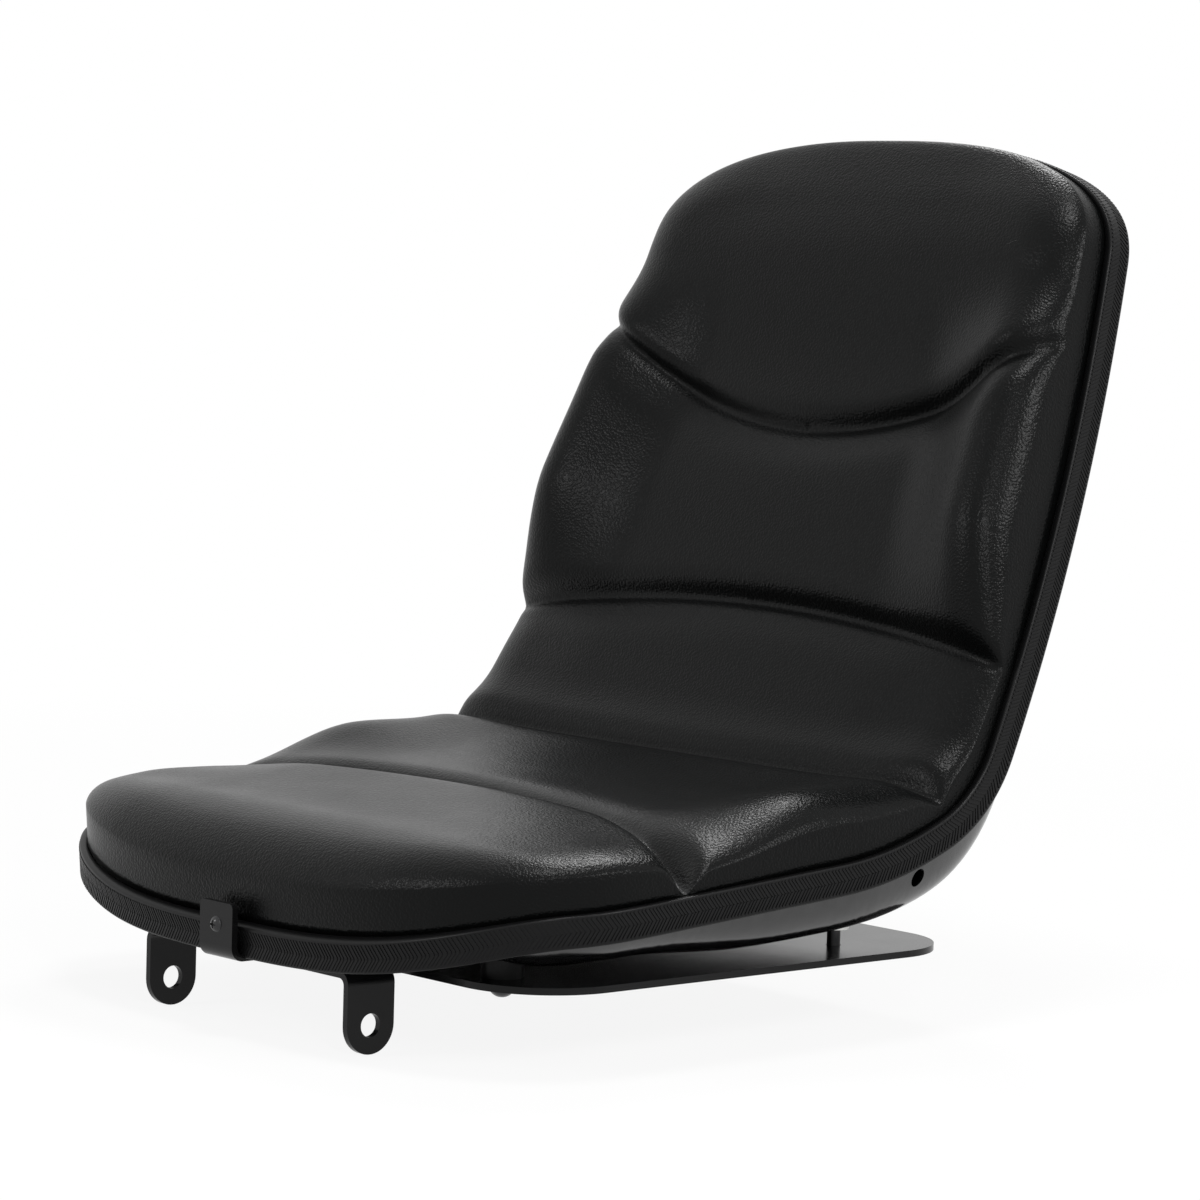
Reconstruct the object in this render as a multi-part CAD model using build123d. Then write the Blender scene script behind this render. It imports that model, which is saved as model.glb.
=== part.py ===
from build123d import *
import math
import os

# Tractor seat: a one-piece moulded bucket cushion in a stamped steel pan, with edge trim
# round the rim, bolted to a bent sheet plate whose two ears hinge on the machine.
# Frame: +X to the sitter's left, +Y to the back, +Z up. The origin is the middle of the
# hinge axis through the two ears.

# Rim line of the pan, seen from the side: a drooping front lip, a straight seat, two arcs
# through the corner and a slightly curved back
FRONT_Y = -23.0
FRONT_Z = 51.5
FRONT_ANGLE = 38.0
FRONT_LENGTH = 64.0
SEAT_ANGLE = 4.5
SEAT_LENGTH = 192.0
CORNER_ENTRY_ANGLE = 22.0
CORNER_ENTRY_RADIUS = 285.0
CORNER_RADIUS = 87.5
BACK_ANGLE = 62.5
BACK_RADIUS = 1600.0
BACK_LENGTH = 377.0

# Rim line, seen on the flat: half widths, and the rounding of the front and of the top
SEAT_HALF_WIDTH = 229.0
TOP_HALF_WIDTH = 184.0
TAPER_START = 284.0
TAPER_POWER = 1.35
TAPER_LIMIT = 1.2
FRONT_DEPTH = 123.0
FRONT_POWER = 2.89
TOP_DEPTH = 69.0
TOP_POWER = 2.53

# Cushion: stations along the rim line with the height of the side bolster, the height of the
# middle and how far the crest is rounded in from the rim
CREST_POWER = 2.3
EDGE_SHARE = 0.6
CUSHION_STATIONS = [
    (0.0, 33.0, 38.5, 28.0),
    (90.0, 30.0, 33.0, 30.0),
    (165.0, 24.0, 34.0, 28.0),
    (255.0, 44.0, 30.0, 27.0),
    (355.0, 27.0, 26.0, 27.0),
    (420.0, 21.0, 26.0, 25.0),
    (540.0, 60.0, 34.0, 27.0),
    (620.0, 58.0, 30.0, 30.0),
    (700.0, 37.0, 42.0, 28.0),
    (790.0, 23.0, 36.0, 40.0),
]
BOLSTER_WIDTH = 66.0

# Grooves across the cushion: station in the middle, how far the ends run towards the top,
# depth in the middle, depth at the ends and half width
GROOVES = [
    (188.0, -46.0, 7.0, 20.0, 13.0),
    (348.0, 2.0, 9.0, 13.0, 13.0),
    (471.0, -20.0, 10.0, 10.0, 14.0),
    (588.0, 64.0, 10.0, 10.0, 14.0),
]
GROOVE_END_WIDTH = 60.0

# Pan: sheet thickness and stations along the rim line with the depth of the bowl
PAN_SHEET = 1.5
PAN_STATIONS = [
    (0.0, 24.0),
    (110.0, 39.0),
    (250.0, 52.0),
    (350.0, 60.0),
    (430.0, 46.0),
    (550.0, 34.0),
    (800.0, 26.0),
]
PAN_WALL_RUN = 90.0
PAN_WALL_POWER = 2.4
PAN_HOLE = 11.0
PAN_HOLE_Y = 306.0
PAN_HOLE_Z = 76.0

# Edge trim
TRIM_PROUD = 5.0
TRIM_ABOVE = 1.0
TRIM_BELOW = 17.0
TRIM_GAP = 0.5
TRIM_PLATE_GAP = 1.5

# Hinge plate, one bent sheet
PLATE_SHEET = 4.0
PLATE_HEIGHT = 27.0
PLATE_HALF_WIDTH = 204.5
PLATE_FRONT = 24.0
PLATE_REAR = 362.0
PLATE_FRONT_CORNER = 55.0
PLATE_REAR_CORNER = 48.0
EAR_SPAN = 193.0
EAR_WIDTH = 33.0
EAR_HOLE = 13.5
BEND_RADIUS = 4.0
NECK_FLAT = 0.5
TAB_WIDTH = 31.0
TAB_TOP = 60.0
TAB_CORNER = 3.0

# Fasteners
BOLT_DIAMETER = 8.0
BOLT_HOLE = 9.0
BOLT_HEAD = 15.5
BOLT_HEAD_HEIGHT = 5.5
BOLT_DRIVE = 5.0
BOLT_DRIVE_DEPTH = 3.0
BOLT_PAST_NUT = 3.0
WASHER_DIAMETER = 14.0
WASHER_SHEET = 2.2
WASHER_SPLIT = 1.6
WASHER_TURN = 60.0
FLAT_WASHER_DIAMETER = 18.0
FLAT_WASHER_SHEET = 1.6
NUT_ACROSS_FLATS = 13.0
NUT_HEIGHT = 6.5
NUT_POCKET = 1.5
NUT_CORNER_RATIO = 2 / math.sqrt(3)
SPACER_DIAMETER = 24.0
FRONT_BOLT_X = 150.0
FRONT_BOLT_Y = 50.0
REAR_BOLT_X = 165.0
REAR_BOLT_Y = 290.0
TAB_SCREW_DIAMETER = 5.0
TAB_SCREW_HOLE = 5.6
TAB_SCREW_HEAD = 9.5
TAB_SCREW_HEAD_HEIGHT = 2.8
TAB_SCREW_HEIGHT = 47.0
TAB_SCREW_LENGTH = 11.0
TAB_SCREW_RECESS = 4.6
TAB_SCREW_RECESS_WIDTH = 1.1
TAB_SCREW_RECESS_DEPTH = 1.6

CLEARANCE = 0.3
SIDE_MARGIN = 8.0
END_MARGIN = 18.0
STEEP_SHARE = 0.18
END_CROWD = 70.0
FLAT_RATIO = 0.02
SAME_PLACE = 0.01
SLOPE_STEP = 0.5
RIM_POINTS = 13
SIDE_POINTS = 7
CUSHION_GAP = 0.6
FAR_ABOVE = 60.0
FAR_BELOW = 85.0
FAR_OUT = 900.0


def rim_stretches():
    """Turn the rim line into stretches: start station, place, angle and radius."""
    angles = [FRONT_ANGLE, SEAT_ANGLE, SEAT_ANGLE, CORNER_ENTRY_ANGLE, BACK_ANGLE]
    front_radius = FRONT_LENGTH / math.radians(SEAT_ANGLE - FRONT_ANGLE)
    radii = [front_radius, None, CORNER_ENTRY_RADIUS, CORNER_RADIUS, BACK_RADIUS]
    entry_length = CORNER_ENTRY_RADIUS * math.radians(CORNER_ENTRY_ANGLE - SEAT_ANGLE)
    corner_length = CORNER_RADIUS * math.radians(BACK_ANGLE - CORNER_ENTRY_ANGLE)
    lengths = [FRONT_LENGTH, SEAT_LENGTH, entry_length, corner_length, BACK_LENGTH]
    stretches = []
    y, z, station = FRONT_Y, FRONT_Z, 0.0
    for degrees, radius, length in zip(angles, radii, lengths):
        angle = math.radians(degrees)
        stretches.append((station, y, z, angle, radius))
        y, z, _ = along(y, z, angle, radius, length)
        station += length
    return stretches, station


def along(y, z, angle, radius, run):
    """Go a run along a straight or an arc, and give the new place and angle."""
    if radius is None:
        return y + run * math.cos(angle), z + run * math.sin(angle), angle
    turned = angle + run / radius
    y += radius * (math.sin(turned) - math.sin(angle))
    z += radius * (math.cos(angle) - math.cos(turned))
    return y, z, turned


STRETCHES, RIM_LENGTH = rim_stretches()
SEAT_TILT = math.radians(SEAT_ANGLE)


def rim_point(station):
    """Place and angle of the rim line at a station, carried on past both ends."""
    chosen = (0.0, FRONT_Y, FRONT_Z, math.radians(FRONT_ANGLE), None)
    for stretch in STRETCHES:
        if station >= stretch[0]:
            chosen = stretch
    start, y, z, angle, radius = chosen
    return along(y, z, angle, radius, station - start)


def place(x, station, height):
    """Point of the seat at a half width, a station and a height over the rim surface."""
    y, z, angle = rim_point(station)
    if station < FRONT_LENGTH:
        angle = SEAT_TILT
    return Vector(x, y - height * math.sin(angle), z + height * math.cos(angle))


def half_width(station):
    share = (station - TAPER_START) / (RIM_LENGTH - TAPER_START)
    share = min(max(share, 0.0), TAPER_LIMIT)
    return SEAT_HALF_WIDTH - (SEAT_HALF_WIDTH - TOP_HALF_WIDTH) * share ** TAPER_POWER


def front_run(station):
    """How far a station lies in front of the rounded front's end, along the flat of the seat."""
    y, z, _ = rim_point(station)
    end_y, end_z, _ = rim_point(FRONT_DEPTH)
    return (end_y - y) * math.cos(SEAT_TILT) + (end_z - z) * math.sin(SEAT_TILT)


def inset(x, station):
    """Distance in from the rim line, worked out from the rounded ends."""
    across = abs(x) / half_width(station)
    depth, power, run = FRONT_DEPTH, FRONT_POWER, front_run(station)
    if station > RIM_LENGTH / 2:
        depth, power, run = TOP_DEPTH, TOP_POWER, station - (RIM_LENGTH - TOP_DEPTH)
    lengthwise = max(run / depth, 0.0)
    ratio = (across ** power + lengthwise ** power) ** (1 / power)
    if ratio < FLAT_RATIO:
        return half_width(station) - abs(x)
    slope_x = (across / ratio) ** (power - 1) / half_width(station)
    slope_s = (lengthwise / ratio) ** (power - 1) / depth
    return (1 - ratio) / math.hypot(slope_x, slope_s)


def smooth(share):
    share = min(max(share, 0.0), 1.0)
    return share * share * (3 - 2 * share)


def stations_value(rows, station, column):
    """Value of a column at a station, eased between the rows."""
    before = rows[0]
    after = rows[-1]
    for first, second in zip(rows, rows[1:]):
        if first[0] <= station <= second[0]:
            before, after = first, second
    if station <= rows[0][0]:
        return rows[0][column]
    if station >= rows[-1][0]:
        return rows[-1][column]
    share = smooth((station - before[0]) / (after[0] - before[0]))
    return before[column] + share * (after[column] - before[column])


def rounded(run, reach, power):
    """Rise from 0 at the rim to 1 where the rounding ends."""
    share = min(max(run / reach, 0.0), 1.0)
    if share > STEEP_SHARE:
        return (1 - (1 - share) ** power) ** (1 / power)
    return share / STEEP_SHARE * (1 - (1 - STEEP_SHARE) ** power) ** (1 / power)


def cushion_top(x, station):
    """Height of the cushion: bolsters, dished middle, rounded crest and grooves."""
    inward = inset(x, station)
    side = stations_value(CUSHION_STATIONS, station, 1)
    middle = stations_value(CUSHION_STATIONS, station, 2)
    reach = stations_value(CUSHION_STATIONS, station, 3)
    crest = middle + (side - middle) * (1 - smooth(inward / BOLSTER_WIDTH))
    across = min(abs(x) / half_width(station), 1.0)
    end_share = 1 - smooth(inward / GROOVE_END_WIDTH)
    for middle_station, end_run, depth, end_depth, width in GROOVES:
        centre = middle_station + end_run * across**2
        dip = math.exp(-(((station - centre) / width) ** 2))
        crest -= (depth + (end_depth - depth) * end_share) * dip
    return crest * (EDGE_SHARE + (1 - EDGE_SHARE) * rounded(inward, reach, CREST_POWER))


def pan_inside(x, station):
    depth = stations_value(PAN_STATIONS, station, 1)
    return -depth * rounded(inset(x, station), PAN_WALL_RUN, PAN_WALL_POWER)


def spaced(start, end, count):
    return [start + (end - start) * index / (count - 1) for index in range(count)]


def section_line(height, columns, station):
    """Smooth line across the seat at a station, at the height that a formula gives."""
    half = (SEAT_HALF_WIDTH + SIDE_MARGIN) * half_width(station) / SEAT_HALF_WIDTH
    points = [place(x * half, station, height(x * half, station)) for x in columns]
    return Edge.make_spline(points, parameters=columns)


def slab(low, high, columns, rows):
    """Closed solid between two formula surfaces, lofted from section to section."""
    sections = []
    for station in rows:
        under = section_line(low, columns, station)
        over = section_line(high, columns, station)
        left = Edge.make_line(under @ 0, over @ 0)
        right = Edge.make_line(over @ 1, under @ 1)
        sections.append(Wire([under, right, over, left]))
    return Solid.make_loft(sections)


def rim_curve(depth, power, half, offset, count):
    """Half of a rounded end, from the side line to the tip, as (x, run) pairs."""
    points = []
    for angle in spaced(0.0, math.pi / 2, count):
        cosine, sine = math.cos(angle), math.sin(angle)
        x = half * max(cosine, 0.0) ** (2 / power)
        run = depth * max(sine, 0.0) ** (2 / power)
        normal_x = max(cosine, 0.0) ** (2 - 2 / power) / half
        normal_run = max(sine, 0.0) ** (2 - 2 / power) / depth
        size = math.hypot(normal_x, normal_run)
        points.append((x + offset * normal_x / size, run + offset * normal_run / size))
    return points


def rim_prism(offset):
    """Prism inside the rim line, moved out by an offset."""
    front = rim_curve(FRONT_DEPTH, FRONT_POWER, SEAT_HALF_WIDTH, offset, RIM_POINTS)
    front_right = [(x, FRONT_DEPTH - run) for x, run in front]
    front_left = [(-x, run) for x, run in front_right[-2::-1]]
    wide = SEAT_HALF_WIDTH + offset
    seat_plane = Plane(
        place(0, FRONT_DEPTH, 0),
        x_dir=(1, 0, 0),
        z_dir=(0, -math.sin(SEAT_TILT), math.cos(SEAT_TILT)),
    )
    seat_line = [(x, run - FRONT_DEPTH) for x, run in front_right + front_left]
    front_prism = outline_prism(seat_plane, seat_line, (wide, FAR_OUT), FAR_OUT)

    top_station = RIM_LENGTH - TOP_DEPTH
    _, _, back_angle = rim_point(top_station)
    back_plane = Plane(
        place(0, top_station, 0),
        x_dir=(1, 0, 0),
        z_dir=(0, -math.sin(back_angle), math.cos(back_angle)),
    )
    top = rim_curve(TOP_DEPTH, TOP_POWER, half_width(top_station), offset, RIM_POINTS)
    narrow = half_width(RIM_LENGTH) / half_width(top_station)
    top_right = [(x * (1 + (narrow - 1) * run / TOP_DEPTH), run) for x, run in top]
    top_left = [(-x, run) for x, run in top_right[-2::-1]]
    sides = []
    for station in spaced(TAPER_START, top_station, SIDE_POINTS)[:-1]:
        local = back_plane.to_local_coords(place(half_width(station) + offset, station, 0))
        sides.append((local.X, local.Y))
    back_line = sides + top_right + top_left + [(-x, run) for x, run in sides[::-1]]
    top_prism = outline_prism(back_plane, back_line, (wide, -FAR_OUT), FAR_OUT)
    return front_prism & top_prism


def outline_prism(plane, line, far_corner, far):
    """Prism on a plane: a smooth line closed by straight sides at the far end."""
    x, run = far_corner
    with BuildSketch(plane) as sketch:
        with BuildLine():
            curve = Spline(*line)
            Polyline(curve @ 1, (-x, run), (x, run), curve @ 0)
        make_face()
    return extrude(sketch.sketch, amount=far, both=True)


def clustered(count, power):
    """Shares from -1 to 1 that crowd together towards both ends."""
    shares = spaced(-1.0, 1.0, count)
    return [math.copysign(1 - (1 - abs(share)) ** power, share) for share in shares]


def end_rows(count, power, middle_step):
    """Stations that crowd together at the front and at the top, even between them."""
    crowd = [END_CROWD * (index / count) ** power for index in range(count)]
    front = [run - END_MARGIN for run in crowd]
    top = [RIM_LENGTH + END_MARGIN - run for run in crowd[::-1]]
    start = END_CROWD - END_MARGIN
    end = RIM_LENGTH - start
    return front + spaced(start, end, round((end - start) / middle_step)) + top


def steepness(height, x, station):
    """How much longer the surface is than its flat, for a wall of even thickness."""
    step = SLOPE_STEP
    across = (height(x + step, station) - height(x - step, station)) / (2 * step)
    along_seat = (height(x, station + step) - height(x, station - step)) / (2 * step)
    return math.sqrt(1 + across**2 + along_seat**2)


def pan_outside(x, station):
    return pan_inside(x, station) - PAN_SHEET * steepness(pan_inside, x, station)


def under_cushion(x, station):
    return pan_inside(x, station) + CUSHION_GAP * steepness(pan_inside, x, station)


def under_pan(x, station):
    return pan_outside(x, station) - TRIM_GAP * steepness(pan_inside, x, station)


def far_above(x, station):
    return FAR_ABOVE


def far_below(x, station):
    return -FAR_BELOW


def lowest(x, station):
    return -FAR_BELOW - SIDE_MARGIN


def trim_top(x, station):
    return TRIM_ABOVE


def trim_bottom(x, station):
    return -TRIM_BELOW


FINE_COLUMNS = clustered(27, 1.6)
PLAIN_COLUMNS = clustered(17, 1.8)
FINE_ROWS = end_rows(6, 1.7, 12.0)
PLAIN_ROWS = end_rows(5, 1.7, 32.0)
PLATE_TOP = PLATE_HEIGHT + PLATE_SHEET
TRIM_FRONT = place(0, FRONT_DEPTH, 0).Y - (FRONT_DEPTH + TRIM_PROUD) * math.cos(SEAT_TILT)
TAB_FACE = TRIM_FRONT - CLEARANCE - PLATE_SHEET
FRONT_BOLTS = [(side * FRONT_BOLT_X, FRONT_BOLT_Y) for side in (-1, 1)]
REAR_BOLTS = [(side * REAR_BOLT_X, REAR_BOLT_Y) for side in (-1, 1)]


def upright(x, y, low, high, diameter):
    """Upright cylinder between two heights."""
    return Pos(x, y, low) * Cylinder(diameter / 2, high - low, align=(Align.CENTER, Align.CENTER, Align.MIN))


def tab_bore(diameter, depth):
    """Cylinder along the tab screw, from the front of the tab towards the back."""
    axis = Pos(0, TAB_FACE, TAB_SCREW_HEIGHT) * Rot(-90, 0, 0)
    return axis * Cylinder(diameter / 2, depth, align=(Align.CENTER, Align.CENTER, Align.MIN))


def pan_height(x, y, height):
    """Height of a formula surface over a place on the floor plan."""
    low, high = 0.0, RIM_LENGTH
    for _ in range(40):
        middle = (low + high) / 2
        if place(x, middle, height(x, middle)).Y < y:
            low = middle
        else:
            high = middle
    return place(x, low, height(x, low)).Z


def all_bolts():
    return FRONT_BOLTS + REAR_BOLTS


def make_cushion():
    body = slab(far_below, cushion_top, FINE_COLUMNS, FINE_ROWS) & rim_prism(-CLEARANCE)
    body -= slab(lowest, under_cushion, PLAIN_COLUMNS, PLAIN_ROWS)
    for x, y in all_bolts():
        low = pan_height(x, y, pan_outside)
        high = nut_top(x, y) + BOLT_PAST_NUT + NUT_POCKET
        body -= upright(x, y, low, high, NUT_ACROSS_FLATS * NUT_CORNER_RATIO + 2 * NUT_POCKET)
    return body


def make_pan():
    body = slab(pan_outside, pan_inside, PLAIN_COLUMNS, PLAIN_ROWS) & rim_prism(0.0)
    for x, y in all_bolts():
        body -= upright(x, y, 0, FAR_BELOW, BOLT_HOLE)
    cross = Pos(0, PAN_HOLE_Y, PAN_HOLE_Z) * Rot(0, 90, 0) * Cylinder(PAN_HOLE / 2, FAR_OUT)
    return body - cross - tab_bore(TAB_SCREW_HOLE, TAB_SCREW_LENGTH)


def make_trim():
    band = slab(trim_bottom, trim_top, PLAIN_COLUMNS, PLAIN_ROWS) & rim_prism(TRIM_PROUD)
    band -= slab(under_pan, far_above, PLAIN_COLUMNS, PLAIN_ROWS) & rim_prism(TRIM_GAP)
    band -= Pos(0, 0, PLATE_TOP + TRIM_PLATE_GAP) * Box(
        2 * PLATE_REAR, 2 * PLATE_REAR, PLATE_TOP, align=(Align.CENTER, Align.CENTER, Align.MAX)
    )
    return band - tab_bore(TAB_SCREW_HOLE, TAB_SCREW_LENGTH)


def make_hinge_plate():
    half_strip = EAR_SPAN / 2 - PLATE_SHEET - BEND_RADIUS
    tab_bend = TAB_FACE + PLATE_SHEET + BEND_RADIUS
    with BuildSketch(Plane.XY.offset(PLATE_HEIGHT)) as outline:
        middle = (PLATE_FRONT + PLATE_REAR) / 2
        with Locations((0, middle)):
            Rectangle(2 * PLATE_HALF_WIDTH, PLATE_REAR - PLATE_FRONT)
        corners = outline.vertices().sort_by(Axis.Y)
        fillet(corners[:2], PLATE_FRONT_CORNER)
        fillet(outline.vertices().sort_by(Axis.Y)[-2:], PLATE_REAR_CORNER)
        with Locations((0, (PLATE_FRONT - EAR_WIDTH / 2) / 2)):
            Rectangle(2 * half_strip, PLATE_FRONT + EAR_WIDTH / 2)
        neck = []
        for vertex in outline.vertices():
            off_line = abs(vertex.Y - PLATE_FRONT)
            off_side = abs(abs(vertex.X) - half_strip)
            if max(off_line, off_side) < SAME_PLACE:
                neck.append(vertex)
        fillet(neck, PLATE_FRONT - EAR_WIDTH / 2 - NECK_FLAT)
        with Locations((0, (tab_bend + PLATE_FRONT) / 2)):
            Rectangle(TAB_WIDTH, PLATE_FRONT - tab_bend)
    plate = extrude(outline.sketch, amount=PLATE_SHEET)
    for side in (-1, 1):
        plate += make_ear(side, half_strip)
    plate += make_tab(tab_bend)
    for x, y in all_bolts():
        plate -= upright(x, y, 0, 2 * PLATE_TOP, BOLT_HOLE)
    pivot = Rot(0, 90, 0) * Cylinder(EAR_HOLE / 2, 2 * EAR_SPAN)
    return plate - pivot - tab_bore(TAB_SCREW_HOLE, TAB_SCREW_LENGTH)


def bent_strip(plane, length, width):
    """Sheet that turns through a right angle and runs on, drawn from its bend line."""
    outer = BEND_RADIUS + PLATE_SHEET
    with BuildSketch(plane) as section:
        with BuildLine():
            top = RadiusArc((0, 0), (outer, -outer), outer)
            down = Line(top @ 1, (outer, -length))
            foot = Line(down @ 1, (BEND_RADIUS, -length))
            up = Line(foot @ 1, (BEND_RADIUS, -outer))
            inside = RadiusArc(up @ 1, (0, -PLATE_SHEET), -BEND_RADIUS)
            Line(inside @ 1, (0, 0))
        make_face()
    return extrude(section.sketch, amount=width / 2, both=True)


def make_ear(side, half_strip):
    plane = Plane((side * half_strip, 0, PLATE_TOP), x_dir=(side, 0, 0), z_dir=(0, -side, 0))
    ear = bent_strip(plane, PLATE_TOP + EAR_WIDTH / 2, EAR_WIDTH)
    with BuildSketch(Plane.YZ) as shape:
        Circle(EAR_WIDTH / 2)
        with Locations((0, PLATE_TOP / 2)):
            Rectangle(EAR_WIDTH, PLATE_TOP)
    return ear & extrude(shape.sketch, amount=EAR_SPAN, both=True)


def make_tab(tab_bend):
    plane = Plane((0, tab_bend, PLATE_HEIGHT), x_dir=(0, -1, 0), z_dir=(1, 0, 0))
    tab = bent_strip(plane, TAB_TOP - PLATE_HEIGHT, TAB_WIDTH)
    top_edges = tab.edges().filter_by(Axis.Y).group_by(Axis.Z)[-1]
    return fillet(top_edges, TAB_CORNER)


def nut_top(x, y):
    return pan_height(x, y, pan_inside) + NUT_HEIGHT


def make_bolt(x, y):
    """Domed socket bolt from below, through its lock washer, the plate and the pan nut."""
    seat = PLATE_HEIGHT - WASHER_SHEET
    shank = upright(x, y, seat, nut_top(x, y) + BOLT_PAST_NUT, BOLT_DIAMETER)
    dome_radius = (BOLT_HEAD**2 / 4 + BOLT_HEAD_HEIGHT**2) / (2 * BOLT_HEAD_HEIGHT)
    dome = Pos(x, y, seat - BOLT_HEAD_HEIGHT + dome_radius) * Sphere(dome_radius)
    head = dome & upright(x, y, seat - BOLT_HEAD_HEIGHT, seat, BOLT_HEAD)
    drive = extrude(RegularPolygon(BOLT_DRIVE / math.sqrt(3), 6), BOLT_DRIVE_DEPTH)
    return shank + head - Pos(x, y, seat - BOLT_HEAD_HEIGHT) * drive


def make_lock_washer(x, y):
    low = PLATE_HEIGHT - WASHER_SHEET
    washer = ring(x, y, low, PLATE_HEIGHT, WASHER_DIAMETER)
    split = Box(
        WASHER_DIAMETER, WASHER_SPLIT, 2 * WASHER_SHEET, align=(Align.MIN, Align.CENTER, Align.CENTER)
    )
    return washer - Pos(x, y, PLATE_HEIGHT) * Rot(0, 0, WASHER_TURN) * split


def ring(x, y, low, high, diameter):
    return upright(x, y, low, high, diameter) - upright(x, y, low, high, BOLT_HOLE)


def make_nut(x, y, pan):
    """Nut that sits on the inside of the pan."""
    low = pan_height(x, y, pan_outside)
    hexagon = extrude(RegularPolygon(NUT_ACROSS_FLATS / math.sqrt(3), 6), nut_top(x, y) - low)
    nut = Pos(x, y, low) * hexagon - upright(x, y, low, nut_top(x, y), BOLT_HOLE) - pan
    return nut.solids().sort_by(Axis.Z)[-1]


def make_spacer(x, y, pan):
    """Ring between the plate and the curved underside of the pan."""
    spacer = ring(x, y, PLATE_TOP, nut_top(x, y), SPACER_DIAMETER) - pan
    return spacer.solids().sort_by(Axis.Z)[0]


def make_rear_washer(x, y, pan):
    low = pan_height(x, y, pan_outside) - FLAT_WASHER_SHEET
    washer = ring(x, y, low, nut_top(x, y), FLAT_WASHER_DIAMETER) - pan
    return washer.solids().sort_by(Axis.Z)[0]


def make_tab_screw():
    head_axis = Pos(0, TAB_FACE, TAB_SCREW_HEIGHT) * Rot(90, 0, 0)
    radius = (TAB_SCREW_HEAD**2 / 4 + TAB_SCREW_HEAD_HEIGHT**2) / (2 * TAB_SCREW_HEAD_HEIGHT)
    ball = head_axis * Pos(0, 0, TAB_SCREW_HEAD_HEIGHT - radius) * Sphere(radius)
    rim = head_axis * Cylinder(
        TAB_SCREW_HEAD / 2, TAB_SCREW_HEAD_HEIGHT, align=(Align.CENTER, Align.CENTER, Align.MIN)
    )
    screw = (ball & rim) + tab_bore(TAB_SCREW_DIAMETER, TAB_SCREW_LENGTH)
    for turn in (0, 90):
        slot = Box(TAB_SCREW_RECESS, TAB_SCREW_RECESS_WIDTH, 2 * TAB_SCREW_RECESS_DEPTH)
        screw -= head_axis * Pos(0, 0, TAB_SCREW_HEAD_HEIGHT) * Rot(0, 0, turn) * slot
    return screw


def save(name, *solids):
    export_step(solids[0] if len(solids) == 1 else Compound(solids), f"parts/{name}.step")


os.makedirs("parts", exist_ok=True)
seat_pan = make_pan()
save("seat_pan", seat_pan)
save("cushion", make_cushion())
save("edge_trim", make_trim())
save("hinge_plate", make_hinge_plate())
save("front_bolts", *[make_bolt(x, y) for x, y in FRONT_BOLTS])
save("rear_bolts", *[make_bolt(x, y) for x, y in REAR_BOLTS])
save("front_lock_washers", *[make_lock_washer(x, y) for x, y in FRONT_BOLTS])
save("rear_lock_washers", *[make_lock_washer(x, y) for x, y in REAR_BOLTS])
save("front_spacers", *[make_spacer(x, y, seat_pan) for x, y in FRONT_BOLTS])
save("rear_washers", *[make_rear_washer(x, y, seat_pan) for x, y in REAR_BOLTS])
save("pan_nuts", *[make_nut(x, y, seat_pan) for x, y in all_bolts()])
save("tab_screw", make_tab_screw())
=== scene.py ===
import bmesh
import bpy
import math
import numpy as np
from mathutils import Matrix, Vector


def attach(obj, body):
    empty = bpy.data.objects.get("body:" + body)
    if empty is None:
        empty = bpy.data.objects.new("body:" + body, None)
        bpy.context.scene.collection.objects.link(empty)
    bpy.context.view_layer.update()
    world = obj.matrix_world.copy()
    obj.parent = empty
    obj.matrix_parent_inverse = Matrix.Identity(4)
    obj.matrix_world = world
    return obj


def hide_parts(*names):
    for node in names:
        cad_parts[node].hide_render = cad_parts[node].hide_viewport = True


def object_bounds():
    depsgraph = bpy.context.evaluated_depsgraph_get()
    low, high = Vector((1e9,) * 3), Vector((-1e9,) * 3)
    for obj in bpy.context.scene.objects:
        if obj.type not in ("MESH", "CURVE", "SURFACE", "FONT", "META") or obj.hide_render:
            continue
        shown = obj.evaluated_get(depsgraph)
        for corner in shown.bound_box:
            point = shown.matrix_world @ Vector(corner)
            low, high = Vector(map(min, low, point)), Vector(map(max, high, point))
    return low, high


# Tractor seat: moulded vinyl cushion, gloss black pan and plate, embossed edge trim.
# The rim line, the pan and the trim use the part's own dimensions. The cushion has rounder crests,
# wider bolsters and narrower creases. Forms are written in millimetres and placed in metres.

MM = 0.001

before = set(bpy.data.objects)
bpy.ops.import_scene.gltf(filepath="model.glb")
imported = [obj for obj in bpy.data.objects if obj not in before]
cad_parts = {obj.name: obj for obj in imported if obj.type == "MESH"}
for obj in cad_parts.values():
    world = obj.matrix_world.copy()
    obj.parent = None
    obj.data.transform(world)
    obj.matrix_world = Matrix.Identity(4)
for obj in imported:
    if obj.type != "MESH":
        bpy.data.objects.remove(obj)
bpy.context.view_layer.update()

# Rim line, seen from the side
FRONT_Y = -23.0
FRONT_Z = 51.5
FRONT_ANGLE = 38.0
FRONT_LENGTH = 64.0
SEAT_ANGLE = 4.5
SEAT_LENGTH = 192.0
CORNER_ENTRY_ANGLE = 22.0
CORNER_ENTRY_RADIUS = 285.0
CORNER_RADIUS = 87.5
BACK_ANGLE = 62.5
BACK_RADIUS = 1600.0
BACK_LENGTH = 377.0

# Rim line, seen on the flat
SEAT_HALF_WIDTH = 229.0
TOP_HALF_WIDTH = 184.0
TAPER_START = 284.0
TAPER_POWER = 1.35
FRONT_DEPTH = 123.0
FRONT_POWER = 2.89
TOP_DEPTH = 69.0
TOP_POWER = 2.53

# Crest of the cushion: the share of its height that stands straight up at the rim is larger in front
CREST_POWER = 2.0
EDGE_SHARE = 0.45
FRONT_EDGE_SHARE = 0.64
FRONT_EDGE_FROM = 90.0
FRONT_EDGE_TO = 170.0
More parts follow.
